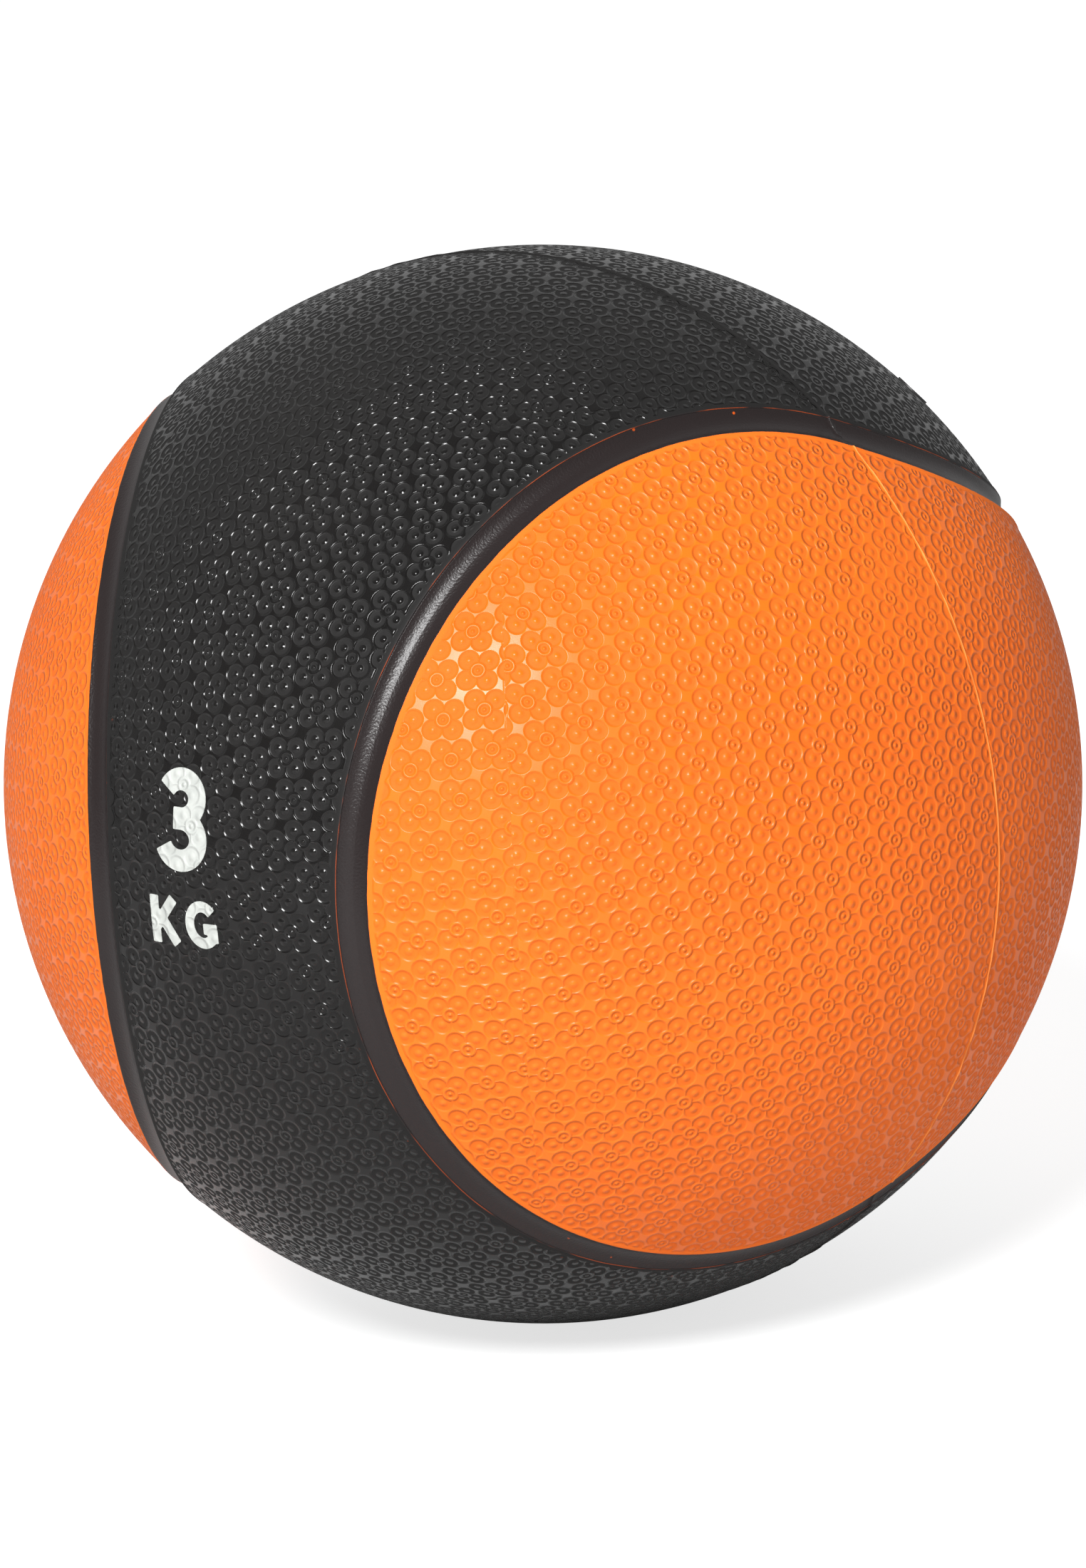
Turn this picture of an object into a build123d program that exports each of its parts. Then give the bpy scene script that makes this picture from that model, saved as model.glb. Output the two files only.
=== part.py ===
# A 3 kg rubber medicine ball with an air-filled bladder, a heavy wall and a two-colour cover.
# Units are millimetres and degrees. The origin is the ball's centre. The mould that cures the
# ball parts in the XZ plane. The front of the ball is its -Y half and +Z is up the front neck.
import os
from math import acos, atan2, cos, degrees, radians, sin, sqrt

from build123d import *

# Overall size
ball_diameter = 230.0

# Wall, from the outside in
cover_thickness = 2.8
weight_layer_thickness = 13.0
winding_thickness = 0.8
bladder_thickness = 1.6

# Cover layout: each colour has two round lobes and a neck, as on a tennis ball
lobe_centre_angle = 66.0  # from a colour's neck to the centre of either of its lobes
joint_corner_angle = 45.0  # where the colour joint crosses the mould's parting plane

# Channel moulded along the colour joint
channel_width = 6.0
channel_depth = 1.1

# Inflation valve, in one of the black lobes
valve_azimuth = 43.0  # from +X towards +Y
valve_elevation = 43.0  # above the XY plane
housing_flange_diameter = 34.0
housing_flange_thickness = 1.6
housing_barrel_diameter = 12.0
housing_neck_diameter = 8.0
housing_bore_diameter = 5.4
housing_rim_height = 0.3  # the neck's end stands this far above the cover
core_head_recess = 0.9  # the core's head lies this far below the neck's end
core_foot_diameter = 7.6
core_foot_length = 2.4
needle_bore_diameter = 2.5
needle_bore_depth = 9.0
needle_mouth_diameter = 3.6
needle_mouth_depth = 0.7

# Radii of the layers
cover_radius = ball_diameter / 2
weight_layer_radius = cover_radius - cover_thickness
winding_radius = weight_layer_radius - weight_layer_thickness
bladder_radius = winding_radius - winding_thickness
air_radius = bladder_radius - bladder_thickness

# The lobes' half-angle that makes the joint's arcs run smoothly into each other
lobe_half_angle = degrees(acos(sin(radians(lobe_centre_angle)) * cos(radians(joint_corner_angle))))
tool_reach = cover_radius + cover_thickness

# Plane.XZ faces -Y, so its top half is the ball's front half
front_half, rear_half = Keep.TOP, Keep.BOTTOM

# Lobe centres, as directions from the ball's centre, and the joint's upper right corner.
# Half a turn about Y swaps a colour's lobes, and half a turn about the corner swaps the colours.
lobe_out = sin(radians(lobe_centre_angle))
lobe_back = cos(radians(lobe_centre_angle))
right_orange_lobe = Vector(lobe_out, -lobe_back, 0)
upper_black_lobe = Vector(0, lobe_back, lobe_out)

upper_corner = Vector(cos(radians(joint_corner_angle)), 0, sin(radians(joint_corner_angle)))
colour_swap_axis = Axis((0, 0, 0), upper_corner)
joint_arc = 2 * degrees(atan2(upper_corner.Z, -lobe_back * upper_corner.X))

# The channel's round bottom, from its width and depth on the ball's surface
channel_radius = (channel_width**2 / 4 + channel_depth**2) / (2 * channel_depth)
channel_centre_radius = cover_radius + channel_radius - channel_depth

# The valve's axis: sketches on valve_section have the axis as their Y and the distance from it as X
valve_direction = Vector(
    cos(radians(valve_elevation)) * cos(radians(valve_azimuth)),
    cos(radians(valve_elevation)) * sin(radians(valve_azimuth)),
    sin(radians(valve_elevation)),
)
valve_side = Vector(-sin(radians(valve_azimuth)), cos(radians(valve_azimuth)), 0)
valve_section = Plane(origin=(0, 0, 0), x_dir=valve_side, z_dir=valve_side.cross(valve_direction))
valve_axis = Axis((0, 0, 0), valve_direction)
neck_top = cover_radius + housing_rim_height
core_top = neck_top - core_head_recess
shoulder_height = weight_layer_radius  # where the barrel steps down to the neck
flange_bottom_radius = air_radius - housing_flange_thickness


def height_on_sphere(radius, distance_from_axis):
    # Where a sphere about the ball's centre meets a line parallel to the valve's axis
    return sqrt(radius**2 - distance_from_axis**2)


# Sketch planes through the ball's centre with a lobe's axis as their X. The first two lie in the
# ball's planes of symmetry, and the third holds the joint's upper right corner.
orange_lobe_plane = Plane(origin=(0, 0, 0), x_dir=right_orange_lobe, z_dir=(0, 0, 1))
black_lobe_plane = Plane(origin=(0, 0, 0), x_dir=upper_black_lobe, z_dir=(1, 0, 0))
corner_normal = right_orange_lobe.cross(upper_corner)
corner_plane = Plane(origin=(0, 0, 0), x_dir=right_orange_lobe, z_dir=corner_normal)


# Everything within the upper black lobe, past the ball's surface
with BuildPart() as upper_black_cone:
    with BuildSketch(black_lobe_plane):
        with BuildLine():
            rim = CenterArc((0, 0), tool_reach, 0, lobe_half_angle)
            Line((0, 0), rim @ 0)
            Line(rim @ 1, (0, 0))
        make_face()
    revolve(axis=Axis((0, 0, 0), upper_black_lobe))

# The right orange lobe's cap of the cover, cut off by the parting plane
with BuildPart() as orange_cap:
    with BuildSketch(orange_lobe_plane):
        with BuildLine():
            outside = CenterArc((0, 0), cover_radius, 0, lobe_half_angle)
            inside = CenterArc((0, 0), weight_layer_radius, 0, lobe_half_angle)
            Line(outside @ 0, inside @ 0)
            Line(outside @ 1, inside @ 1)
        make_face()
    revolve(axis=Axis((0, 0, 0), right_orange_lobe))
    split(bisect_by=Plane.XZ, keep=front_half)

# The round tool for the channel's quarter about the right orange lobe, from corner to corner
with BuildPart() as channel_quarter:
    with BuildSketch(corner_plane):
        with PolarLocations(channel_centre_radius, 1, start_angle=lobe_half_angle):
            Circle(channel_radius)
    revolve(axis=Axis((0, 0, 0), right_orange_lobe), revolution_arc=joint_arc)

# The whole channel: the joint is one smooth closed line of four equal arcs
front_quarters = [channel_quarter.part, channel_quarter.part.rotate(Axis.Y, 180)]
rear_quarters = [quarter.rotate(colour_swap_axis, 180) for quarter in front_quarters]
with BuildPart() as channel_ring:
    add(front_quarters + rear_quarters)

# Valve housing: a flange bonded inside the bladder, and a barrel that reaches the cover's surface
with BuildPart() as valve_housing:
    with BuildSketch(valve_section):
        with BuildLine():
            flange_reach = housing_flange_diameter / 2
            barrel_reach = housing_barrel_diameter / 2
            neck_reach = housing_neck_diameter / 2
            bore_reach = housing_bore_diameter / 2
            bore_root = (bore_reach, height_on_sphere(flange_bottom_radius, bore_reach))
            flange_top = (flange_reach, height_on_sphere(air_radius, flange_reach))
            flange_edge = (flange_reach, height_on_sphere(flange_bottom_radius, flange_reach))
            barrel_root = (barrel_reach, height_on_sphere(air_radius, barrel_reach))
            Line(bore_root, (bore_reach, neck_top))
            Line((bore_reach, neck_top), (neck_reach, neck_top))
            Line((neck_reach, neck_top), (neck_reach, shoulder_height))
            Line((neck_reach, shoulder_height), (barrel_reach, shoulder_height))
            Line((barrel_reach, shoulder_height), barrel_root)
            RadiusArc(barrel_root, flange_top, air_radius)
            Line(flange_top, flange_edge)
            RadiusArc(flange_edge, bore_root, -flange_bottom_radius)
        make_face()
    revolve(axis=valve_axis)

# Valve core: a self-sealing plug pulled through the housing, held by its foot inside
with BuildPart() as valve_core:
    with BuildSketch(valve_section):
        with BuildLine():
            foot_reach = core_foot_diameter / 2
            needle_reach = needle_bore_diameter / 2
            mouth_reach = needle_mouth_diameter / 2
            foot_top = height_on_sphere(flange_bottom_radius, foot_reach)
            foot_bottom = foot_top - core_foot_length
            mouth_bottom = core_top - needle_mouth_depth
            needle_bottom = core_top - needle_bore_depth
            Polyline(
                (0, foot_bottom),
                (foot_reach / 2, foot_bottom),
                (foot_reach, foot_top - core_foot_length / 3),
                (foot_reach, foot_top),
                (bore_reach, foot_top),
                (bore_reach, core_top),
                (mouth_reach, core_top),
                (needle_reach, mouth_bottom),
                (needle_reach, needle_bottom),
                (0, needle_bottom),
                (0, foot_bottom),
            )
        make_face()
    revolve(axis=valve_axis)

# The hole that the housing's barrel and neck fill in the layers around them
with BuildPart() as housing_hole:
    with BuildSketch(valve_section):
        with BuildLine():
            Polyline(
                (0, 0),
                (barrel_reach, 0),
                (barrel_reach, shoulder_height),
                (neck_reach, shoulder_height),
                (neck_reach, tool_reach),
                (0, tool_reach),
                (0, 0),
            )
        make_face()
    revolve(axis=valve_axis)

# Orange cover: two lobes at the left and right of the front, joined by the neck across the rear.
# The neck is an eighth of the sphere that the upper black lobe is cut from, mirrored twice.
with BuildPart() as orange_cover:
    Sphere(cover_radius, 0, 90, 90, align=Align.NONE)
    Sphere(weight_layer_radius, 0, 90, 90, align=Align.NONE, mode=Mode.SUBTRACT)
    add(upper_black_cone.part, mode=Mode.SUBTRACT)
    mirror(about=Plane.YZ)
    mirror(about=Plane.XY)
    add([orange_cap.part, orange_cap.part.rotate(Axis.Y, 180)])
    add(channel_ring.part, mode=Mode.SUBTRACT)

# Black cover: the same shape with the colours swapped, pierced for the valve's neck
with BuildPart() as black_cover:
    add(orange_cover.part.rotate(colour_swap_axis, 180))
    add(housing_hole.part, mode=Mode.SUBTRACT)

# Weight layer: the heavy wall, laid up in two halves that meet in the parting plane
with BuildPart() as front_weight_layer:
    Sphere(weight_layer_radius)
    Sphere(winding_radius, mode=Mode.SUBTRACT)
    split(bisect_by=Plane.XZ, keep=front_half)

with BuildPart() as rear_weight_layer:
    Sphere(weight_layer_radius)
    Sphere(winding_radius, mode=Mode.SUBTRACT)
    split(bisect_by=Plane.XZ, keep=rear_half)
    add(housing_hole.part, mode=Mode.SUBTRACT)

# Winding: nylon thread wound over the bladder all the way round
with BuildPart() as thread_winding:
    Sphere(winding_radius)
    Sphere(bladder_radius, mode=Mode.SUBTRACT)
    add(housing_hole.part, mode=Mode.SUBTRACT)

# Bladder: a butyl skin that holds the air
with BuildPart() as bladder:
    Sphere(bladder_radius)
    Sphere(air_radius, mode=Mode.SUBTRACT)
    add(housing_hole.part, mode=Mode.SUBTRACT)

pieces = {
    "orange_cover": orange_cover.part,
    "black_cover": black_cover.part,
    "front_weight_layer": front_weight_layer.part,
    "rear_weight_layer": rear_weight_layer.part,
    "thread_winding": thread_winding.part,
    "bladder": bladder.part,
    "valve_housing": valve_housing.part,
    "valve_core": valve_core.part,
}
os.makedirs("parts", exist_ok=True)
for name, piece in pieces.items():
    piece.label = name
    export_step(piece, f"parts/{name}.step")
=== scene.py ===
from math import acos, atan2, cos, pi, radians, sin, sqrt

import bpy
import numpy as np
from mathutils import Matrix, Vector


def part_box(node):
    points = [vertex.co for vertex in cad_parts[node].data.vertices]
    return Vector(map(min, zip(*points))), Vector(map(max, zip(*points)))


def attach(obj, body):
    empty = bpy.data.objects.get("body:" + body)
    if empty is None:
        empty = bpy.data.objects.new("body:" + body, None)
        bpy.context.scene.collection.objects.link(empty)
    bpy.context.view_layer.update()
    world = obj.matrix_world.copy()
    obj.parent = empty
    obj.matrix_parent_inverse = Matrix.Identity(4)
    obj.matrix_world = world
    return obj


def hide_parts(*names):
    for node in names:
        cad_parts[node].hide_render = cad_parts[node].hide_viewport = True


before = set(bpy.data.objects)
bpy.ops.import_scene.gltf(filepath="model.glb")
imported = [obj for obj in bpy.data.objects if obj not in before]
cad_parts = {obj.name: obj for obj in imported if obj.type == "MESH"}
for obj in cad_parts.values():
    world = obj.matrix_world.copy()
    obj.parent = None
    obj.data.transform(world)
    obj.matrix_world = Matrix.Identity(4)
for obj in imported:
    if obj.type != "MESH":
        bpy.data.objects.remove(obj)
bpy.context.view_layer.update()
coverLow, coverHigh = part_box("orange_cover")
ballRadius = (coverHigh[0] - coverLow[0]) / 2
mm = 0.001

# The front neck of black runs along +Z on the -Y side, and the mould parts in the plane Y = 0
layout = {
    "lobeCentreAngle": radians(66),  # from the middle of a colour's neck to each of its lobes
    "cornerAngle": radians(45),  # where the colour joint crosses the parting plane
    "channelWidth": 6.4 * mm,
    "channelDepth": 1.1 * mm,
}
lobeOut = sin(layout["lobeCentreAngle"])
lobeBack = cos(layout["lobeCentreAngle"])
lobeHalfAngle = acos(lobeOut * cos(layout["cornerAngle"]))
corner = Vector((cos(layout["cornerAngle"]), 0, sin(layout["cornerAngle"])))
orangeLobes = [Vector((lobeOut, -lobeBack, 0)), Vector((-lobeOut, -lobeBack, 0))]
blackLobes = [Vector((0, lobeBack, lobeOut)), Vector((0, lobeBack, -lobeOut))]
jointArc = 2 * atan2(1, -lobeBack)


def jointDistance(places):
    # Along the surface from the colour joint, positive on the orange side
    x, y, z = (places / np.linalg.norm(places, axis=1)[:, None]).T
    front = lobeHalfAngle - np.arccos(np.clip(np.abs(x) * lobeOut - y * lobeBack, -1, 1))
    rear = np.arccos(np.clip(np.abs(z) * lobeOut + y * lobeBack, -1, 1)) - lobeHalfAngle
    return ballRadius * np.where(y < 0, front, rear)


def deselectAll():
    if bpy.context.object and bpy.context.object.mode != "OBJECT":
        bpy.ops.object.mode_set(mode="OBJECT")
    bpy.ops.object.select_all(action="DESELECT")


def makeActive(piece):
    deselectAll()
    piece.select_set(True)
    bpy.context.view_layer.objects.active = piece


def vertexPlaces(piece):
    if piece.mode == "EDIT":
        piece.update_from_editmode()
    places = np.empty(len(piece.data.vertices) * 3)
    piece.data.vertices.foreach_get("co", places)
    return places.reshape(-1, 3)


def selectVertices(piece, chosen):
    # chosen is one truth value for each vertex. Edges and faces follow when edit mode starts again
    makeActive(piece)
    for part in (piece.data.vertices, piece.data.edges, piece.data.polygons):
        part.foreach_set("select", np.zeros(len(part), bool))
    piece.data.vertices.foreach_set("select", chosen)
    bpy.ops.object.mode_set(mode="EDIT")
    bpy.ops.mesh.select_mode(type="VERT")


def groupVertices(piece, name, chosen):
    group = piece.vertex_groups.get(name) or piece.vertex_groups.new(name=name)
    group.add([int(index) for index in np.flatnonzero(chosen)], 1, "REPLACE")


def applyModifier(piece, kind, **settings):
    makeActive(piece)
    modifier = piece.modifiers.new(kind.lower(), kind)
    for name, value in settings.items():
        setattr(modifier, name, value)
    bpy.ops.object.modifier_apply(modifier=modifier.name)


def drawChain(places):
    # A chain of vertices, drawn one after another in edit mode as a new mesh
    deselectAll()
    bpy.ops.mesh.primitive_plane_add(size=mm, location=(0, 0, 0))
    bpy.ops.object.mode_set(mode="EDIT")
    bpy.ops.mesh.select_mode(type="VERT")
    bpy.ops.mesh.merge(type="CENTER")
    bpy.ops.transform.translate(value=places[0])
    for before, after in zip(places, places[1:]):
        bpy.ops.mesh.extrude_vertices_move(TRANSFORM_OT_translate={"value": after - before})
    bpy.ops.mesh.select_all(action="SELECT")
    return bpy.context.object


# The strip of the covers along the colour joint, which is spun before the fields are filled in
band = {
    "stepsPerArc": 240,
    "tipSteps": 64,  # of those, how many at a lobe's far end start the field's grid
    "lipHeight": 0.16 * mm,
    "lipEdge": 3.45 * mm,
    "lipTop": 4.0 * mm,
    "lipFoot": 4.7 * mm,
    # how far each row of vertices lies from the joint, in millimetres
    "rows": (0, 0.6, 1.2, 1.8, 2.3, 2.7, 2.95, 3.15, 3.3, 3.45, 3.7, 4.0, 4.35, 4.7, 5.3, 6.2),
    "weldDistance": 0.05 * mm,
}


def bandHeight(distance):
    # The channel's round bottom, then the lip beside it that falls back to the ball's surface
    half = layout["channelWidth"] / 2
    depth = layout["channelDepth"]
    radius = (half**2 + depth**2) / (2 * depth)
    if distance < half:
        return radius - depth - sqrt(radius**2 - distance**2)
    if distance < band["lipEdge"]:
        return band["lipHeight"] * (distance - half) / (band["lipEdge"] - half)
    fall = min(1, max(0, (distance - band["lipTop"]) / (band["lipFoot"] - band["lipTop"])))
    return band["lipHeight"] * (1 - fall * fall * (3 - 2 * fall))


def spinBand():
    # One vertex is drawn across the joint row by row, then spun round the right orange lobe
    axis = orangeLobes[0]
    across = (corner - axis * corner.dot(axis)).normalized()

    def place(offset):
        angle = lobeHalfAngle - offset / ballRadius
        return (axis * cos(angle) + across * sin(angle)) * (ballRadius + bandHeight(abs(offset)))

    rows = [row * mm for row in band["rows"]]
    offsets = [-row for row in reversed(rows[1:])] + rows
    cover = drawChain([place(offset) for offset in offsets])
    bpy.ops.mesh.spin(steps=band["stepsPerArc"], angle=jointArc, center=(0, 0, 0), axis=-axis)
    return cover


def closeBand(cover):
    # Half a turn about Y copies the arc to the left lobe. Then both are copied to the rear by half
    # a turn about the corner, which is half a turn about X and a quarter turn about Y.
    for turns in ((("Y", pi),), (("X", pi), ("Y", pi / 2))):
        bpy.ops.mesh.select_all(action="SELECT")
        bpy.ops.mesh.duplicate()
        for axis, angle in turns:
            bpy.ops.transform.rotate(
                value=angle, orient_axis=axis, orient_type="GLOBAL", center_override=(0, 0, 0))
    bpy.ops.mesh.select_all(action="SELECT")
    bpy.ops.mesh.remove_doubles(threshold=band["weldDistance"])


def fillField(cover, lobes, side):
    # The grid runs from one long edge of the colour to the other, between the far ends of its lobes
    cell = jointArc / band["stepsPerArc"]
    places = vertexPlaces(cover)
    betweenLastRows = (band["rows"][-1] + band["rows"][-2]) / 2 * mm
    edge = side * jointDistance(places) > betweenLastRows
    farEnds = np.zeros(len(places), bool)
    for lobe in lobes:
        # square to the lobe's axis, on the side away from the colour's own neck
        farEnd = Vector((0, 1, 0)) - lobe * lobe.y
        farEnd = farEnd.normalized() if lobe.y > 0 else -farEnd.normalized()
        sideways = np.cross(lobe, farEnd)
        around = np.arctan2(places @ sideways, places @ np.array(farEnd))
        nearLobe = places @ np.array(lobe) > 0.6 * ballRadius
        farEnds |= nearLobe & (np.abs(around) < (band["tipSteps"] / 2 - 0.7) * cell)
    selectVertices(cover, edge & ~farEnds)
    bpy.ops.mesh.fill_grid(use_interp_simple=False)
    bpy.ops.object.mode_set(mode="OBJECT")


cover = {
    "wall": 2.8 * mm,
    "smoothAngle": radians(50),
    "ridgeHalfWidth": 0.32 * mm,
    "ridgeRippleSize": 3.5 * mm,
    "orangeRidge": 0.42 * mm,
    "blackRidge": 0.55 * mm,
    "valveAzimuth": radians(43),  # from +X towards +Y
    "valveElevation": radians(43),
    "valveHoleRadius": 4.05 * mm,
    "valveHoleSides": 72,
    "drillLength": 12 * mm,
}
valveAxis = Vector((
    cos(cover["valveAzimuth"]) * cos(cover["valveElevation"]),
    sin(cover["valveAzimuth"]) * cos(cover["valveElevation"]),
    sin(cover["valveElevation"]),
))


def cutRidgeLines(outside):
    makeActive(outside)
    bpy.ops.object.mode_set(mode="EDIT")
    for offset in (-cover["ridgeHalfWidth"], 0, cover["ridgeHalfWidth"]):
        bpy.ops.mesh.select_all(action="SELECT")
        bpy.ops.mesh.bisect(plane_co=(0, offset, 0), plane_no=(0, 1, 0), threshold=0.02 * mm)
    bpy.ops.object.mode_set(mode="OBJECT")


def splitColors(outside):
    # The black faces are separated, and the orange ones stay
    makeActive(outside)
    centres = np.empty(len(outside.data.polygons) * 3)
    outside.data.polygons.foreach_get("center", centres)
    black = jointDistance(centres.reshape(-1, 3)) < 0
    bpy.ops.object.mode_set(mode="EDIT")
    bpy.ops.mesh.select_mode(type="FACE")
    bpy.ops.mesh.select_all(action="DESELECT")
    bpy.ops.object.mode_set(mode="OBJECT")
    outside.data.polygons.foreach_set("select", black)
    bpy.ops.object.mode_set(mode="EDIT")
    bpy.ops.mesh.separate(type="SELECTED")
    bpy.ops.object.mode_set(mode="OBJECT")
    other = [piece for piece in bpy.context.selected_objects if piece != outside][0]
    return outside, other


def raiseRidge(half, height):
    # The mould closed on this line, so a thin uneven fin stands along it
    places = vertexPlaces(half)
    groupVertices(half, "ridge", np.abs(places[:, 1]) < 0.05 * mm)
    ripple = bpy.data.textures.new(half.name + "Ripple", "CLOUDS")
    ripple.noise_scale = cover["ridgeRippleSize"]
    applyModifier(
        half, "DISPLACE", texture=ripple, texture_coords="LOCAL", direction="NORMAL",
        strength=height, mid_level=0, vertex_group="ridge",
    )


def giveWall(half):
    # A thin shell's inner side is cast onto a sphere, so that the wall's inside is smooth
    half.vertex_groups.new(name="inner")
    applyModifier(half, "SOLIDIFY", thickness=0.04 * mm, offset=-1, shell_vertex_group="inner")
    applyModifier(half, "CAST", factor=1, size=ballRadius - cover["wall"], use_radius_as_size=False,
                  vertex_group="inner")
    makeActive(half)
    bpy.ops.object.shade_smooth_by_angle(angle=cover["smoothAngle"])


def cutValveHole(half):
    deselectAll()
    bpy.ops.mesh.primitive_cylinder_add(
        vertices=cover["valveHoleSides"], radius=cover["valveHoleRadius"], depth=cover["drillLength"],
        location=valveAxis * ballRadius, rotation=valveAxis.to_track_quat("Z", "Y").to_euler(),
    )
    drill = bpy.context.object
    applyModifier(half, "BOOLEAN", operation="DIFFERENCE", object=drill, solver="EXACT")
    bpy.data.objects.remove(drill)


def makeCovers():
    outside = spinBand()
    closeBand(outside)
    bandSize = len(vertexPlaces(outside))
    fillField(outside, orangeLobes, 1)
    fillField(outside, blackLobes, -1)
    groupVertices(outside, "field", np.arange(len(outside.data.vertices)) >= bandSize)
    applyModifier(outside, "CAST", factor=1, size=ballRadius, use_radius_as_size=False,
                  vertex_group="field")
    makeActive(outside)
    bpy.ops.object.mode_set(mode="EDIT")
    bpy.ops.mesh.select_all(action="SELECT")
    bpy.ops.mesh.normals_make_consistent(inside=False)
    bpy.ops.object.mode_set(mode="OBJECT")
    cutRidgeLines(outside)
    orange, black = splitColors(outside)
    orange.name = orange.data.name = "orangeCover"
    black.name = black.data.name = "blackCover"
    for half, ridge in ((orange, cover["orangeRidge"]), (black, cover["blackRidge"])):
        raiseRidge(half, ridge)
        giveWall(half)
    cutValveHole(black)
    for half in (orange, black):
        half.vertex_groups.clear()
        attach(half, "root")
    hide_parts("orange_cover")
    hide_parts("black_cover")
    print("covers made:", len(orange.data.polygons), "and", len(black.data.polygons), "faces")
    return orange, black


# The mark is a thin film of paint on the black neck
weightMark = {
    "numberHeight": 20.9 * mm,
    "unitHeight": 10.0 * mm,
    "across": -0.067 * ballRadius,
    "numberRise": 0.152 * ballRadius,
    "unitRise": -0.032 * ballRadius,
    "letterKAcross": -0.52,  # of the unit's height
    "letterGAcross": 0.50,
    "numberBoldness": 0.215,  # of the height
    "letterKBoldness": 0.238,
    "letterGBoldness": 0.22848,
    "cutterDepth": 8 * mm,
    "cutterSink": 1.5 * mm,  # from the ball's front point to the cutter's middle
    "cell": 0.22 * mm,
    "sheetSize": 60 * mm,
    "sheetCells": 50,
    "sheetRise": 0.05 * ballRadius,
    "filmInner": -0.05 * mm,  # from the ball's surface
    "filmOuter": 0.12 * mm,
    "smoothAngle": radians(40),
}


def bow(acrossPlace, up, halfWidth, halfHeight, start, end, points=28):
    # Part of an oval stroke, in degrees counterclockwise from the right
    turns = [radians(start + (end - start) * step / points) for step in range(points + 1)]
    return [(acrossPlace + halfWidth * cos(turn), up + halfHeight * sin(turn)) for turn in turns]


# Each stroke's middle line, in heights of the letter
digitThree = [
    bow(0.0, 0.700, 0.205, 0.190, 152, -86), bow(0.0, 0.308, 0.228, 0.205, 86, -160),
    [(-0.09, 0.512), (0.03, 0.512)],
]
letterK = [[(-0.27, 0.0), (-0.27, 1.0)], [(-0.22, 0.38), (0.27, 0.97)], [(-0.08, 0.55), (0.30, 0.02)]]
letterG = [
    bow(0.0, 0.5, 0.335, 0.385, 42, 318), [(0.02, 0.42), (0.365, 0.42)], [(0.262, 0.42), (0.262, 0.14)],
]


def addLetter(strokes, height, boldness, acrossPlace, rise):
    # Each stroke is drawn, pulled back as a wall and given its width, then all are fused into a cutter
    depth = weightMark["cutterDepth"]
    parts = []
    for stroke in strokes:
        part = drawChain([Vector((x * height, -depth / 2, (z - 0.5) * height)) for x, z in stroke])
        bpy.ops.mesh.extrude_region_move(TRANSFORM_OT_translate={"value": (0, depth, 0)})
        bpy.ops.object.mode_set(mode="OBJECT")
        applyModifier(part, "SOLIDIFY", thickness=boldness * height, offset=0, use_even_offset=True)
        parts.append(part)
    for part in parts:
        part.select_set(True)
    bpy.ops.object.join()
    letter = bpy.context.object
    bpy.ops.object.mode_set(mode="EDIT")
    bpy.ops.mesh.select_all(action="SELECT")
    bpy.ops.mesh.normals_make_consistent(inside=False)
    bpy.ops.object.mode_set(mode="OBJECT")
    applyModifier(letter, "REMESH", mode="VOXEL", voxel_size=weightMark["cell"])
    letter.location = (weightMark["across"] + acrossPlace, -ballRadius + weightMark["cutterSink"], rise)
    bpy.ops.object.transform_apply(location=True, rotation=True, scale=True)
    return letter


def addPaintFilm(letter, name):
    # A curved sheet is cut to the letter's outline
    inner, outer = weightMark["filmInner"], weightMark["filmOuter"]
    deselectAll()
    bpy.ops.mesh.primitive_grid_add(
        x_subdivisions=weightMark["sheetCells"], y_subdivisions=weightMark["sheetCells"],
        size=weightMark["sheetSize"], rotation=(pi / 2, 0, 0),
        location=(weightMark["across"], -ballRadius, weightMark["sheetRise"]),
    )
    film = bpy.context.object
    film.name = film.data.name = name
    bpy.ops.object.transform_apply(location=True, rotation=True, scale=True)
    applyModifier(film, "CAST", factor=1, size=ballRadius + outer, use_radius_as_size=False)
    applyModifier(film, "SOLIDIFY", thickness=outer - inner, offset=-1)
    applyModifier(film, "BOOLEAN", operation="INTERSECT", object=letter, solver="EXACT")
    bpy.data.objects.remove(letter)
    makeActive(film)
    bpy.ops.object.shade_smooth_by_angle(angle=weightMark["smoothAngle"])
    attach(film, "root")
    return film


def makeWeightMark():
    number, unit = weightMark["numberHeight"], weightMark["unitHeight"]
    unitRise = weightMark["unitRise"]
    letters = {
        "weightMarkThree": addLetter(
            digitThree, number, weightMark["numberBoldness"], 0, weightMark["numberRise"]),
        "weightMarkK": addLetter(
            letterK, unit, weightMark["letterKBoldness"], weightMark["letterKAcross"] * unit, unitRise),
        "weightMarkG": addLetter(
            letterG, unit, weightMark["letterGBoldness"], weightMark["letterGAcross"] * unit, unitRise),
    }
    films = [addPaintFilm(letter, name) for name, letter in letters.items()]
    print("weight mark made:", [len(film.data.polygons) for film in films], "faces")
    return films


def feed(tree, socket, value):
    # value is a number, a vector or another node's output
    if isinstance(value, bpy.types.NodeSocket):
        tree.links.new(value, socket)
    else:
        socket.default_value = value


def calc(tree, operation, *values):
    node = tree.nodes.new("ShaderNodeMath")
    node.operation = operation
    for socket, value in zip(node.inputs, values):
        feed(tree, socket, value)
    return node.outputs[0]


def vectorCalc(tree, operation, *values):
    node = tree.nodes.new("ShaderNodeVectorMath")
    node.operation = operation
    sockets = (node.inputs[0], node.inputs["Scale"]) if operation == "SCALE" else node.inputs
    for socket, value in zip(sockets, values):
        feed(tree, socket, value)
    return node.outputs["Value" if operation in ("LENGTH", "DOT_PRODUCT", "DISTANCE") else "Vector"]


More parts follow.
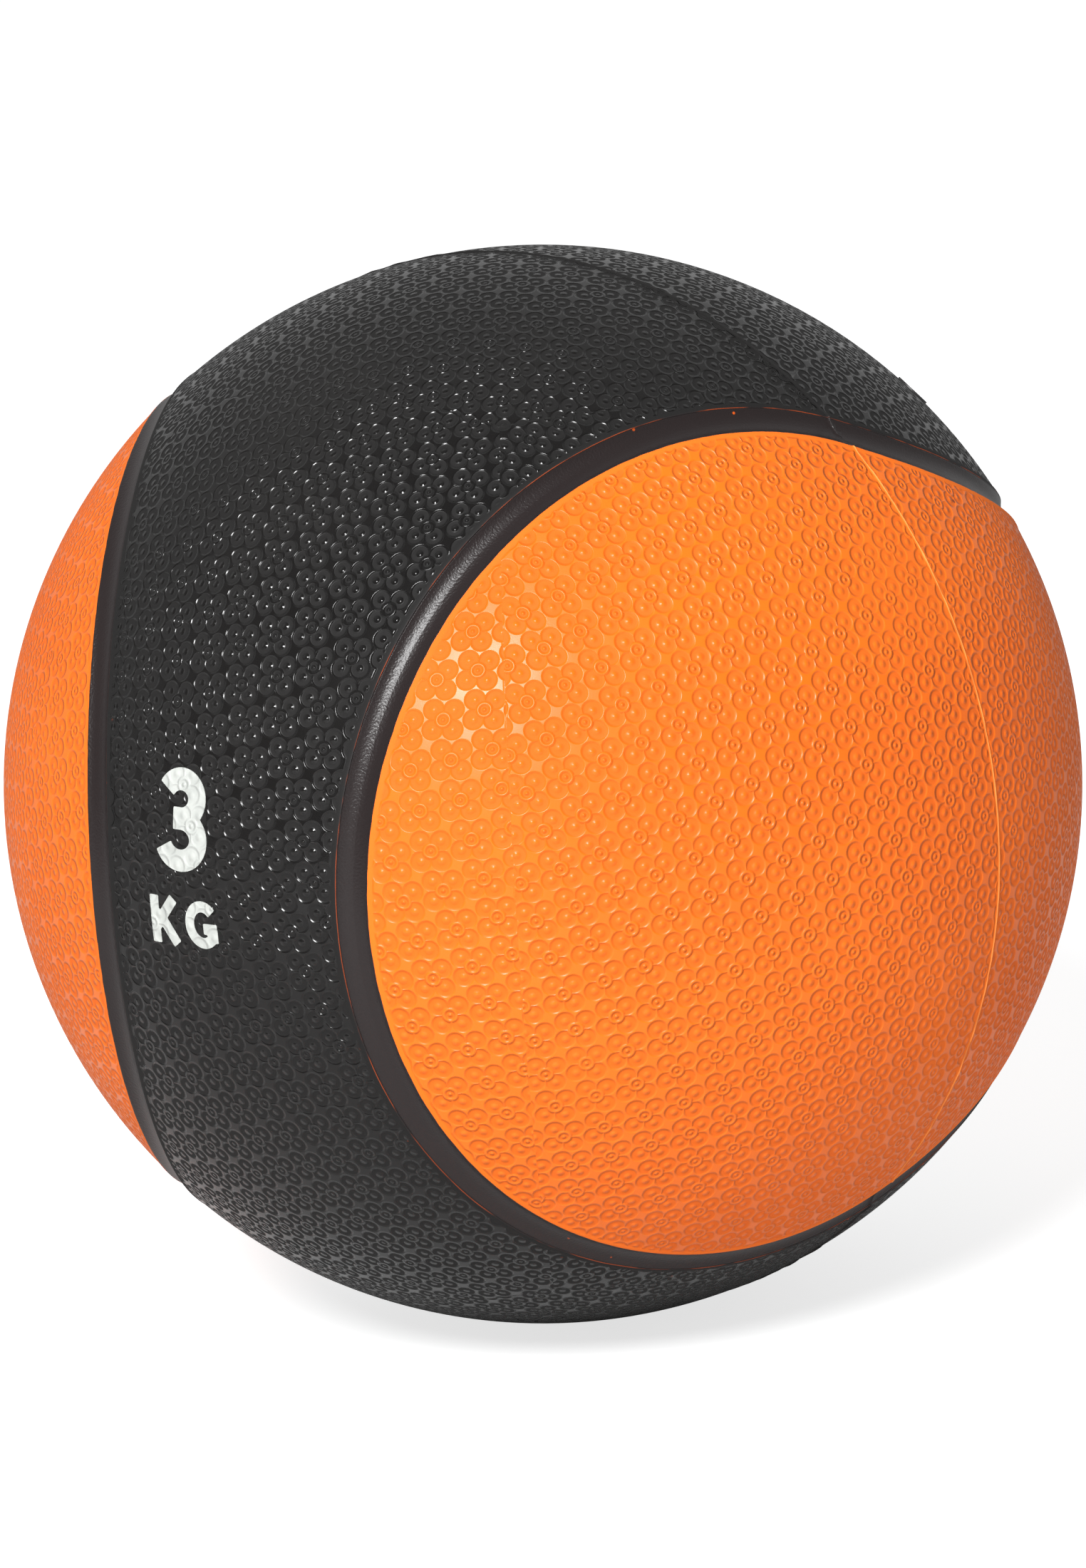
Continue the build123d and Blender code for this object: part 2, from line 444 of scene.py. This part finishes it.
def fade(tree, value, start, end, low=0.0, high=1.0):
    node = tree.nodes.new("ShaderNodeMapRange")
    node.interpolation_type = "SMOOTHSTEP"
    for socket, number in zip(node.inputs, (value, start, end, low, high)):
        feed(tree, socket, number)
    return node.outputs[0]


def noise(tree, vector, scale, detail=2.0, roughness=0.5):
    node = tree.nodes.new("ShaderNodeTexNoise")
    tree.links.new(vector, node.inputs["Vector"])
    node.inputs["Scale"].default_value = scale
    node.inputs["Detail"].default_value = detail
    node.inputs["Roughness"].default_value = roughness
    return node.outputs["Fac"]


def speckle(tree, vector, scale):
    # The distance to the nearest of many scattered points, and that point's own random value
    node = tree.nodes.new("ShaderNodeTexVoronoi")
    tree.links.new(vector, node.inputs["Vector"])
    node.inputs["Scale"].default_value = scale
    draw = tree.nodes.new("ShaderNodeSeparateColor")
    tree.links.new(node.outputs["Color"], draw.inputs[0])
    return node.outputs["Distance"], draw.outputs[0]


def blend(tree, factor, first, second):
    # From the first colour to the second
    node = tree.nodes.new("ShaderNodeMix")
    node.data_type = "RGBA"
    feed(tree, node.inputs[0], factor)
    feed(tree, node.inputs[6], first)
    feed(tree, node.inputs[7], second)
    return node.outputs[2]


def blendValue(tree, factor, first, second):
    step = calc(tree, "SUBTRACT", second, first)
    return calc(tree, "MULTIPLY_ADD", factor, step, first)


def multiply(tree, *values):
    product = values[0]
    for value in values[1:]:
        product = calc(tree, "MULTIPLY", product, value)
    return product


def startGroup(name, inputs, outputs):
    tree = bpy.data.node_groups.new(name, "ShaderNodeTree")
    for label, kind in inputs:
        tree.interface.new_socket(name=label, in_out="INPUT", socket_type=kind)
    for label, kind in outputs:
        tree.interface.new_socket(name=label, in_out="OUTPUT", socket_type=kind)
    return tree, tree.nodes.new("NodeGroupInput").outputs, tree.nodes.new("NodeGroupOutput").inputs


def useGroup(tree, group, **values):
    node = tree.nodes.new("ShaderNodeGroup")
    node.node_tree = group
    for name, value in values.items():
        feed(tree, node.inputs[name], value)
    return node.outputs


def jointGroup():
    # Distance is from the colour joint along the surface, and positive on orange. Parting is from
    # the mould's parting plane, and Valve from the valve's axis.
    tree, given, out = startGroup(
        "colourJoint", [("Position", "NodeSocketVector")],
        [("Distance", "NodeSocketFloat"), ("Parting", "NodeSocketFloat"), ("Valve", "NodeSocketFloat")])
    direction = vectorCalc(tree, "NORMALIZE", given["Position"])
    split = tree.nodes.new("ShaderNodeSeparateXYZ")
    tree.links.new(direction, split.inputs[0])
    x, y, z = split.outputs
    along = calc(tree, "MULTIPLY", y, lobeBack)
    front = calc(tree, "SUBTRACT", multiply(tree, calc(tree, "ABSOLUTE", x), lobeOut), along)
    rear = calc(tree, "MULTIPLY_ADD", calc(tree, "ABSOLUTE", z), lobeOut, along)
    frontAngle = calc(tree, "SUBTRACT", lobeHalfAngle, calc(tree, "ARCCOSINE", front))
    rearAngle = calc(tree, "SUBTRACT", calc(tree, "ARCCOSINE", rear), lobeHalfAngle)
    behind = calc(tree, "GREATER_THAN", y, 0)
    change = calc(tree, "MULTIPLY", calc(tree, "SUBTRACT", rearAngle, frontAngle), behind)
    angle = calc(tree, "ADD", frontAngle, change)
    tree.links.new(calc(tree, "MULTIPLY", angle, ballRadius), out["Distance"])
    tree.links.new(calc(tree, "ABSOLUTE", calc(tree, "MULTIPLY", y, ballRadius)), out["Parting"])
    away = calc(tree, "ARCCOSINE", vectorCalc(tree, "DOT_PRODUCT", direction, valveAxis))
    tree.links.new(calc(tree, "MULTIPLY", away, ballRadius), out["Valve"])
    return tree


relief = {
    "pitch": 2.08 * mm,  # between a ringed dot and each small dot beside it, along either axis
    "latticeStep": (4, 1),  # in pitches, from one ringed dot to the next
    "outline": 1.13,  # in pitches, from the small dots to the ridge that wanders round each group
    "ringRadius": 0.64,  # in pitches
    "dotSharpness": 1.0,
    "outlineSharpness": 3.2,
    "ringSharpness": 1.0,
    "height": 0.34,  # in millimetres, as are swell and every grain
    "swell": 0.12,
    "swellScale": 60.0,
    "grainScale": 3200.0,
    "wornScale": 26.0,
    "wornHeight": 0.62,  # of the full height, where the relief is flattest
    "borderHeight": 0.75,  # of the full height, where two patches meet
    # the relief fades in between these distances from the joint, the parting plane, the valve's axis
    # and the line where two patches meet
    "jointFade": (4.25 * mm, 5.0 * mm),
    "partingFade": (0.35 * mm, 1.1 * mm),
    "valveFade": (6.5 * mm, 7.5 * mm),
    "borderFade": (0.05 * mm, 0.8 * mm),
    # where each patch of the mould's texture is centred, and how far its rows are turned
    "patches": [
        (orangeLobes[0], 3), (orangeLobes[1], -4), (blackLobes[0], 8), (blackLobes[1], -8),
        (Vector((0, -1, 0)), 2), (Vector((0, 1, 0)), -3),
    ],
}


def patchTurn(centre, degrees):
    # Turns the ball so that the patch's centre comes to +Z and its rows run along +X
    across = Vector((0, 0, 1)).cross(centre).normalized()
    upward = centre.cross(across)
    turned = across * cos(radians(degrees)) + upward * sin(radians(degrees))
    return Matrix((turned, centre.cross(turned), centre)).to_euler("XYZ")


def ripple(tree, distance, period, sharpness):
    # 1 at every whole period and 0 between them
    wave = calc(tree, "COSINE", calc(tree, "MULTIPLY", distance, 2 * pi / period))
    return calc(tree, "POWER", calc(tree, "MULTIPLY_ADD", wave, 0.5, 0.5), sharpness)


def reliefGroup():
    # Ringed dots with four small dots round each, and a ridge round every such group, in flat patches
    tree, given, out = startGroup(
        "mouldedRelief", [("Position", "NodeSocketVector")],
        [("Height", "NodeSocketFloat"), ("Border", "NodeSocketFloat")])
    direction = vectorCalc(tree, "NORMALIZE", given["Position"])
    # best and second are the cosines of the angles to the two nearest patches' centres
    best = second = flat = None
    for centre, degrees in relief["patches"]:
        turn = tree.nodes.new("ShaderNodeMapping")
        turn.inputs["Rotation"].default_value = patchTurn(centre, degrees)
        tree.links.new(direction, turn.inputs["Vector"])
        split = tree.nodes.new("ShaderNodeSeparateXYZ")
        tree.links.new(turn.outputs[0], split.inputs[0])
        near = split.outputs[2]
        if best is None:
            best, second, flat = near, -1.0, turn.outputs[0]
            continue
        closer = calc(tree, "GREATER_THAN", near, best)
        second = calc(tree, "MAXIMUM", second, calc(tree, "MINIMUM", near, best))
        best = calc(tree, "MAXIMUM", best, near)
        step = vectorCalc(tree, "SUBTRACT", turn.outputs[0], flat)
        flat = vectorCalc(tree, "ADD", flat, vectorCalc(tree, "SCALE", step, closer))
    angle = calc(tree, "ARCCOSINE", best)
    stretch = calc(tree, "DIVIDE", angle, calc(tree, "MAXIMUM", calc(tree, "SINE", angle), 0.0001))
    spread = calc(tree, "MULTIPLY", stretch, ballRadius / relief["pitch"])
    place = vectorCalc(tree, "SCALE", vectorCalc(tree, "MULTIPLY", flat, (1, 1, 0)), spread)
    # from here on, place is measured from the nearest ringed dot of a square lattice
    right, up = relief["latticeStep"]
    steps = [Vector((right, up, 0)), Vector((-up, right, 0))]
    counts = [calc(tree, "ROUND", vectorCalc(tree, "DOT_PRODUCT", place, step / step.length_squared))
              for step in steps]
    for step, count in zip(steps, counts):
        place = vectorCalc(tree, "SUBTRACT", place, vectorCalc(tree, "SCALE", step, count))
    small = relief["outline"]
    for dot in (Vector(), *steps, -steps[0], -steps[1]):
        folded = vectorCalc(tree, "ABSOLUTE", vectorCalc(tree, "SUBTRACT", place, dot))
        small = calc(tree, "MINIMUM", small, vectorCalc(tree, "DISTANCE", folded, (1, 1, 0)))
    beyond = calc(tree, "GREATER_THAN", small, relief["outline"] / 2)
    sharpness = blendValue(tree, beyond, relief["dotSharpness"], relief["outlineSharpness"])
    outer = ripple(tree, small, relief["outline"], sharpness)
    big = vectorCalc(tree, "LENGTH", place)
    outer = calc(tree, "MULTIPLY", outer, calc(tree, "GREATER_THAN", big, relief["ringRadius"]))
    big = calc(tree, "MINIMUM", big, relief["ringRadius"] * 1.5)
    ring = ripple(tree, big, relief["ringRadius"], relief["ringSharpness"])
    ridge = calc(tree, "MAXIMUM", outer, ring)
    tree.links.new(ridge, out["Height"])
    gap = calc(tree, "SUBTRACT", angle, calc(tree, "ARCCOSINE", second))
    tree.links.new(calc(tree, "MULTIPLY", calc(tree, "ABSOLUTE", gap), ballRadius), out["Border"])
    return tree


def surfaceGroup(joint, pebbles):
    # Height, in millimetres: the relief where the mould had it, plus the rubber's fine grain
    tree, given, out = startGroup(
        "mouldedSurface",
        [("Position", "NodeSocketVector"), ("Grain", "NodeSocketFloat"), ("Relief", "NodeSocketFloat")],
        [("Height", "NodeSocketFloat"), ("Distance", "NodeSocketFloat"), ("Pebbled", "NodeSocketFloat"),
         ("Crest", "NodeSocketFloat"), ("Parting", "NodeSocketFloat")])
    place = given["Position"]
    near = useGroup(tree, joint, Position=place)
    dots = useGroup(tree, pebbles, Position=place)
    side = calc(tree, "ABSOLUTE", near["Distance"])
    worn = noise(tree, place, relief["wornScale"])
    pebbled = multiply(
        tree, fade(tree, side, *relief["jointFade"]),
        fade(tree, near["Parting"], *relief["partingFade"]),
        fade(tree, near["Valve"], *relief["valveFade"]),
        fade(tree, dots["Border"], *relief["borderFade"], relief["borderHeight"], 1.0),
        fade(tree, worn, 0.25, 0.5, relief["wornHeight"], 1.0))
    crest = calc(tree, "MULTIPLY", dots["Height"], pebbled)
    height = calc(tree, "MULTIPLY", crest, given["Relief"])
    grain = calc(tree, "MULTIPLY", noise(tree, place, relief["grainScale"]), given["Grain"])
    swell = calc(tree, "MULTIPLY", noise(tree, place, relief["swellScale"], 1.0), relief["swell"])
    height = calc(tree, "ADD", height, calc(tree, "ADD", grain, swell))
    tree.links.new(height, out["Height"])
    tree.links.new(near["Distance"], out["Distance"])
    tree.links.new(pebbled, out["Pebbled"])
    tree.links.new(crest, out["Crest"])
    tree.links.new(near["Parting"], out["Parting"])
    return tree


def startMaterial(name, **settings):
    # settings are plain values that hold all over the piece
    material = bpy.data.materials.new(name)
    material.use_nodes = True
    tree = material.node_tree
    shader = tree.nodes["Principled BSDF"]
    for label, value in settings.items():
        shader.inputs[label].default_value = value
    return material, tree, shader


def objectPlace(tree):
    return tree.nodes.new("ShaderNodeTexCoord").outputs["Object"]


def addBump(tree, shader, height):
    # height is in millimetres
    bump = tree.nodes.new("ShaderNodeBump")
    bump.inputs["Strength"].default_value = 1.0
    bump.inputs["Distance"].default_value = mm
    tree.links.new(height, bump.inputs["Height"])
    tree.links.new(bump.outputs["Normal"], shader.inputs["Normal"])


channelPaint = {
    "color": (0.017, 0.0118, 0.0118, 1),
    "roughness": 0.33,
    "brushed": 0.07,  # in millimetres
    "brushScale": 2200.0,
    # on the orange side, where the paint ends
    "edge": 3.46 * mm,
    "edgeSoftness": 0.04 * mm,
    "raggedness": 0.16 * mm,
    "wobbleScale": 300.0,
    "driftScale": 28.0,
}


def brushMarks(tree, place, amount):
    return multiply(tree, noise(tree, place, channelPaint["brushScale"], 1.0), amount)


def paintedSide(tree, place, distance):
    # 1 where the channel's paint lies, with an uneven brushed edge
    ragged, edge = channelPaint["raggedness"] * 2, channelPaint["edge"]
    wobble = calc(tree, "SUBTRACT", noise(tree, place, channelPaint["wobbleScale"], 3.0), 0.5)
    drift = calc(tree, "SUBTRACT", noise(tree, place, channelPaint["driftScale"], 1.0), 0.5)
    offset = calc(tree, "MULTIPLY_ADD", wobble, ragged, distance)
    offset = calc(tree, "MULTIPLY_ADD", drift, ragged, offset)
    soft = channelPaint["edgeSoftness"]
    return fade(tree, offset, edge - soft, edge + soft, 1.0, 0.0)


orangeRubber = {
    "color": (0.93, 0.177, 0.008, 1),
    "deeper": (0.76, 0.110, 0.005, 1),  # a deeper orange for the mottling, also used as painted shade between the ridges
    "mottleScale": 14.0,
    "mottling": 0.35,
    # how far painted shade darkens the orange between the ridges
    "paintedValleyShade": 0.42,
    "speck": (0.10, 0.03, 0.02, 1),
    "speckScale": 85.0,
    "speckDraw": 0.90,  # a scattered point has a speck when its random value is above this
    "ridge": (1.0, 0.36, 0.09, 1),  # the parting ridge, painted paler as a highlight along its crest
    "ridgeHighlightFade": (0.08 * mm, 0.3 * mm),
    "roughness": 0.35,
    "dipRoughness": 0.80,  # between the ridges
    "mattScale": 60.0,
    "specular": 0.36,
    "grain": 0.010,
}


def makeOrangeRubber(surface):
    material, tree, shader = startMaterial(
        "orangeRubber", **{"Specular IOR Level": orangeRubber["specular"]})
    place = objectPlace(tree)
    skin = useGroup(tree, surface, Position=place, Grain=orangeRubber["grain"], Relief=relief["height"])
    paint = paintedSide(tree, place, skin["Distance"])
    mottle = fade(tree, noise(tree, place, orangeRubber["mottleScale"], 3.0), 0.35, 0.75)
    mottle = calc(tree, "MULTIPLY", mottle, orangeRubber["mottling"])
    color = blend(tree, mottle, orangeRubber["color"], orangeRubber["deeper"])
    spot, draw = speckle(tree, place, orangeRubber["speckScale"])
    drawn = calc(tree, "GREATER_THAN", draw, orangeRubber["speckDraw"])
    dark = calc(tree, "MULTIPLY", drawn, fade(tree, spot, 0.03, 0.05, 0.8, 0.0))
    # Painted shade: the colour is darkened towards the deeper orange between the relief's ridges, where
    # the hollows would lie in shadow
    valleyShade = fade(tree, skin["Crest"], 0.0, 0.7, orangeRubber["paintedValleyShade"], 0.0)
    valleyShade = calc(tree, "MULTIPLY", valleyShade, skin["Pebbled"])
    color = blend(tree, valleyShade, color, orangeRubber["deeper"])
    color = blend(tree, dark, color, orangeRubber["speck"])
    # Painted highlight: a paler orange along the parting ridge's crest
    ridge = fade(tree, skin["Parting"], *orangeRubber["ridgeHighlightFade"], 0.7, 0.0)
    color = blend(tree, ridge, color, orangeRubber["ridge"])
    color = blend(tree, paint, color, channelPaint["color"])
    tree.links.new(color, shader.inputs["Base Color"])
    matt = fade(tree, noise(tree, place, orangeRubber["mattScale"]), 0.3, 0.7, -0.04, 0.05)
    rough = fade(tree, skin["Crest"], 0.1, 0.6, orangeRubber["dipRoughness"], orangeRubber["roughness"])
    rough = blendValue(tree, paint, calc(tree, "ADD", matt, rough), channelPaint["roughness"])
    tree.links.new(rough, shader.inputs["Roughness"])
    brushed = brushMarks(tree, place, channelPaint["brushed"])
    addBump(tree, shader, calc(tree, "MULTIPLY_ADD", paint, brushed, skin["Height"]))
    return material


blackRubber = {
    "color": (0.0062, 0.0056, 0.0054, 1),
    "dusty": (0.012, 0.011, 0.0105, 1),
    "dustScale": 22.0,
    "paintFade": (-3.6 * mm, -3.0 * mm),  # where the channel's paint begins
    "roughness": 0.17,
    "dipRoughness": 0.80,  # between the ridges
    "mattScale": 45.0,
    "specular": 0.38,
    "grain": 0.012,
    # a broken thread of orange that shows beside the channel, and the fine step it lies in
    "threadAt": -3.30 * mm,
    "threadHalfWidth": 0.075 * mm,
    "threadStrength": 0.32,
    "threadWander": 0.22 * mm,
    "wanderScale": 120.0,
    "gapScale": 75.0,
    "stepAt": -3.12 * mm,
    "stepFade": (0.02 * mm, 0.14 * mm),
    "stepDepth": 0.12,  # in millimetres
    # flecks of orange, thinning out away from the channel
    "fleckScale": 300.0,
    "fleckFade": (-9 * mm, -3.4 * mm),
    "fleckShare": 0.16,
}


def orangeTraces(tree, place, distance):
    # 1 where the black rubber beside the channel shows orange
    gaps = fade(tree, noise(tree, place, blackRubber["gapScale"], 3.0, 0.6), 0.42, 0.58)
    wander = calc(tree, "SUBTRACT", noise(tree, place, blackRubber["wanderScale"], 3.0), 0.5)
    fromThread = calc(tree, "SUBTRACT", distance, blackRubber["threadAt"])
    fromThread = calc(tree, "MULTIPLY_ADD", wander, blackRubber["threadWander"], fromThread)
    half = blackRubber["threadHalfWidth"]
    thread = fade(tree, calc(tree, "ABSOLUTE", fromThread), half * 0.6, half * 1.4, 1.0, 0.0)
    thread = multiply(tree, thread, gaps, blackRubber["threadStrength"])
    spot, draw = speckle(tree, place, blackRubber["fleckScale"])
    share = fade(tree, distance, *blackRubber["fleckFade"], 0.0, blackRubber["fleckShare"])
    drawn = calc(tree, "GREATER_THAN", share, calc(tree, "SUBTRACT", 1.0, draw))
    fleck = multiply(tree, drawn, fade(tree, spot, 0.07, 0.13, 0.9, 0.0), gaps)
    return calc(tree, "MAXIMUM", thread, fleck)


def makeBlackRubber(surface):
    material, tree, shader = startMaterial(
        "blackRubber", **{"Specular IOR Level": blackRubber["specular"]})
    place = objectPlace(tree)
    skin = useGroup(tree, surface, Position=place, Grain=blackRubber["grain"], Relief=relief["height"])
    dust = fade(tree, noise(tree, place, blackRubber["dustScale"], 4.0, 0.6), 0.45, 0.8, 0.0, 0.5)
    color = blend(tree, dust, blackRubber["color"], blackRubber["dusty"])
    inChannel = fade(tree, skin["Distance"], *blackRubber["paintFade"])
    color = blend(tree, inChannel, color, channelPaint["color"])
    color = blend(tree, orangeTraces(tree, place, skin["Distance"]), color, orangeRubber["deeper"])
    tree.links.new(color, shader.inputs["Base Color"])
    matt = fade(tree, noise(tree, place, blackRubber["mattScale"], 1.0), 0.3, 0.7, -0.02, 0.04)
    rough = fade(tree, skin["Crest"], 0.04, 0.4, blackRubber["dipRoughness"], blackRubber["roughness"])
    rough = blendValue(tree, inChannel, calc(tree, "ADD", matt, rough), channelPaint["roughness"])
    tree.links.new(rough, shader.inputs["Roughness"])
    brushed = brushMarks(tree, place, calc(tree, "MULTIPLY", inChannel, channelPaint["brushed"]))
    step = calc(tree, "ABSOLUTE", calc(tree, "SUBTRACT", skin["Distance"], blackRubber["stepAt"]))
    step = fade(tree, step, *blackRubber["stepFade"], -blackRubber["stepDepth"], 0.0)
    addBump(tree, shader, calc(tree, "ADD", calc(tree, "ADD", skin["Height"], brushed), step))
    return material


markPaint = {
    "thin": (0.47, 0.49, 0.465, 1),
    "thick": (0.56, 0.58, 0.55, 1),
    "toneScale": 220.0,
    "thinRoughness": 0.42,
    "thickRoughness": 0.56,
    "reliefLeft": 0.75,  # how much of the relief shows through the paint
    "grain": 0.01,
}


def makeMarkPaint(surface):
    material, tree, shader = startMaterial("markPaint")
    place = objectPlace(tree)
    reliefHeight = relief["height"] * markPaint["reliefLeft"]
    skin = useGroup(tree, surface, Position=place, Grain=markPaint["grain"], Relief=reliefHeight)
    tone = fade(tree, noise(tree, place, markPaint["toneScale"], 3.0), 0.3, 0.7)
    tree.links.new(blend(tree, tone, markPaint["thin"], markPaint["thick"]), shader.inputs["Base Color"])
    rough = fade(tree, tone, 0, 1, markPaint["thinRoughness"], markPaint["thickRoughness"])
    tree.links.new(rough, shader.inputs["Roughness"])
    addBump(tree, shader, skin["Height"])
    return material


# The rubbers inside the ball and in the valve, and the CAD nodes they are on
innerRubbers = {
    "filledRubber": {
        "color": (0.030, 0.027, 0.025, 1), "grain": 0.10, "roughness": 0.62,
        "nodes": ("front_weight_layer", "rear_weight_layer"),
    },
    "butylRubber": {
        "color": (0.014, 0.014, 0.015, 1), "grain": 0.03, "roughness": 0.40,
        "nodes": ("bladder",),
    },
    "valveRubber": {
        "color": (0.017, 0.016, 0.016, 1), "grain": 0.03, "roughness": 0.42,
        "nodes": ("valve_housing", "valve_core"),
    },
}


def makeInnerRubber(name, rubber):
    material, tree, shader = startMaterial(name)
    place = objectPlace(tree)
    tone = noise(tree, place, 120.0, 4.0, 0.6)
    paler = [part * 1.8 for part in rubber["color"][:3]] + [1]
    tree.links.new(blend(tree, tone, rubber["color"], paler), shader.inputs["Base Color"])
    rough = rubber["roughness"]
    tree.links.new(fade(tree, tone, 0.3, 0.7, rough - 0.06, rough + 0.08), shader.inputs["Roughness"])
    fine = noise(tree, place, 2600.0, 3.0)
    addBump(tree, shader, calc(tree, "MULTIPLY", calc(tree, "ADD", fine, tone), rubber["grain"]))
    return material


winding = {
    "strand": (0.72, 0.69, 0.60, 1),
    "glue": (0.30, 0.27, 0.21, 1),
    "turns": ((0.3, 0.9, 0.1), (1.3, 0.2, 0.8), (0.7, 1.9, 1.6), (2.2, 0.6, 0.4)),
    "strandScale": 210.0,
    "waviness": 1.5,
    "height": 0.35,  # in millimetres
}


def makeThread():
    # Strands wound over each other in several directions, under a smear of rubber glue
    material, tree, shader = startMaterial("nylonThread")
    place = objectPlace(tree)
    top = 0.0
    for turn in winding["turns"]:
        tilt = tree.nodes.new("ShaderNodeMapping")
        tilt.inputs["Rotation"].default_value = turn
        tree.links.new(place, tilt.inputs["Vector"])
        strands = tree.nodes.new("ShaderNodeTexWave")
        strands.inputs["Scale"].default_value = winding["strandScale"]
        strands.inputs["Distortion"].default_value = winding["waviness"]
        tree.links.new(tilt.outputs[0], strands.inputs["Vector"])
        top = calc(tree, "MAXIMUM", top, strands.outputs["Fac"])
    tree.links.new(blend(tree, top, winding["glue"], winding["strand"]), shader.inputs["Base Color"])
    tree.links.new(fade(tree, top, 0, 1, 0.7, 0.45), shader.inputs["Roughness"])
    addBump(tree, shader, calc(tree, "MULTIPLY", top, winding["height"]))
    return material


def dress(piece, material):
    makeActive(piece)
    if not piece.material_slots:
        bpy.ops.object.material_slot_add()
    for slot in piece.material_slots:
        slot.material = material


def dressInside():
    for name, rubber in innerRubbers.items():
        material = makeInnerRubber(name, rubber)
        for node in rubber["nodes"]:
            dress(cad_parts[node], material)
    dress(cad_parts["thread_winding"], makeThread())


view = {
    "azimuth": radians(36.44),
    "elevation": radians(13.10),
    "roll": radians(-3.58),
    "distance": 14 * ballRadius,
    "lens": 172.98,
    "sensorWidth": 36,
    "farLimit": 50,
}
studio = {
    "keyDirection": (-0.234, 0.359, 0.905),  # in the camera's own right, up and back
    "keyDistance": 1.7,
    "keySize": 0.6,
    "keyPower": 38.0,
    "skyBehind": 0.52,  # the white backdrop, behind the ball as the camera sees it
    "skyInFront": 0.24,
    "floorGlow": 1.0,  # seen by the camera only, so that the floor comes out white
    "floorColor": (0.72, 0.72, 0.72, 1),
    "floorSize": 60.0,
}


def addCamera():
    turn = Matrix.Rotation(view["azimuth"], 4, "Z")
    aim = turn @ Matrix.Rotation(pi / 2 - view["elevation"], 4, "X")
    place = Matrix.Translation(aim @ Vector((0, 0, view["distance"])))
    bpy.ops.object.camera_add()
    camera = bpy.context.object
    camera.matrix_world = place @ aim @ Matrix.Rotation(view["roll"], 4, "Z")
    camera.data.lens = view["lens"]
    camera.data.sensor_width = view["sensorWidth"]
    camera.data.clip_end = view["farLimit"]
    bpy.context.scene.camera = camera
    return camera


def addStudio(camera):
    away = camera.matrix_world.to_3x3() @ Vector(studio["keyDirection"]).normalized()
    bpy.ops.object.light_add(type="AREA", location=away * studio["keyDistance"])
    key = bpy.context.object
    key.name = "keyLight"
    key.rotation_euler = away.to_track_quat("Z", "Y").to_euler()
    key.data.shape = "DISK"
    key.data.size = studio["keySize"]
    key.data.energy = studio["keyPower"]
    world = bpy.data.worlds.new("studioSky")
    bpy.context.scene.world = world
    world.use_nodes = True
    sky = world.node_tree
    direction = sky.nodes.new("ShaderNodeTexCoord").outputs["Generated"]
    backdrop = vectorCalc(sky, "DOT_PRODUCT", direction, -camera.location.normalized())
    sky.nodes["Background"].inputs["Color"].default_value = (1, 1, 1, 1)
    glow = fade(sky, backdrop, -0.5, 0.6, studio["skyInFront"], studio["skyBehind"])
    sky.links.new(glow, sky.nodes["Background"].inputs["Strength"])
    deselectAll()
    bpy.ops.mesh.primitive_plane_add(size=studio["floorSize"], location=(0, 0, -ballRadius))
    floor = bpy.context.object
    floor.name = "studioFloor"
    color = studio["floorColor"]
    settings = {"Base Color": color, "Emission Color": color, "Roughness": 0.9}
    material, tree, shader = startMaterial("studioFloor", **settings)
    seen = tree.nodes.new("ShaderNodeLightPath").outputs["Is Camera Ray"]
    glow = calc(tree, "MULTIPLY", seen, studio["floorGlow"])
    tree.links.new(glow, shader.inputs["Emission Strength"])
    floor.data.materials.append(material)
    bpy.context.scene.view_settings.view_transform = "Standard"
    print("camera, light and floor added")


addStudio(addCamera())
orangeCover, blackCover = makeCovers()
markFilms = makeWeightMark()
surfaceSkin = surfaceGroup(jointGroup(), reliefGroup())
dress(orangeCover, makeOrangeRubber(surfaceSkin))
dress(blackCover, makeBlackRubber(surfaceSkin))
markMaterial = makeMarkPaint(surfaceSkin)
for film in markFilms:
    dress(film, markMaterial)
dressInside()
print("materials made")

deselectAll()
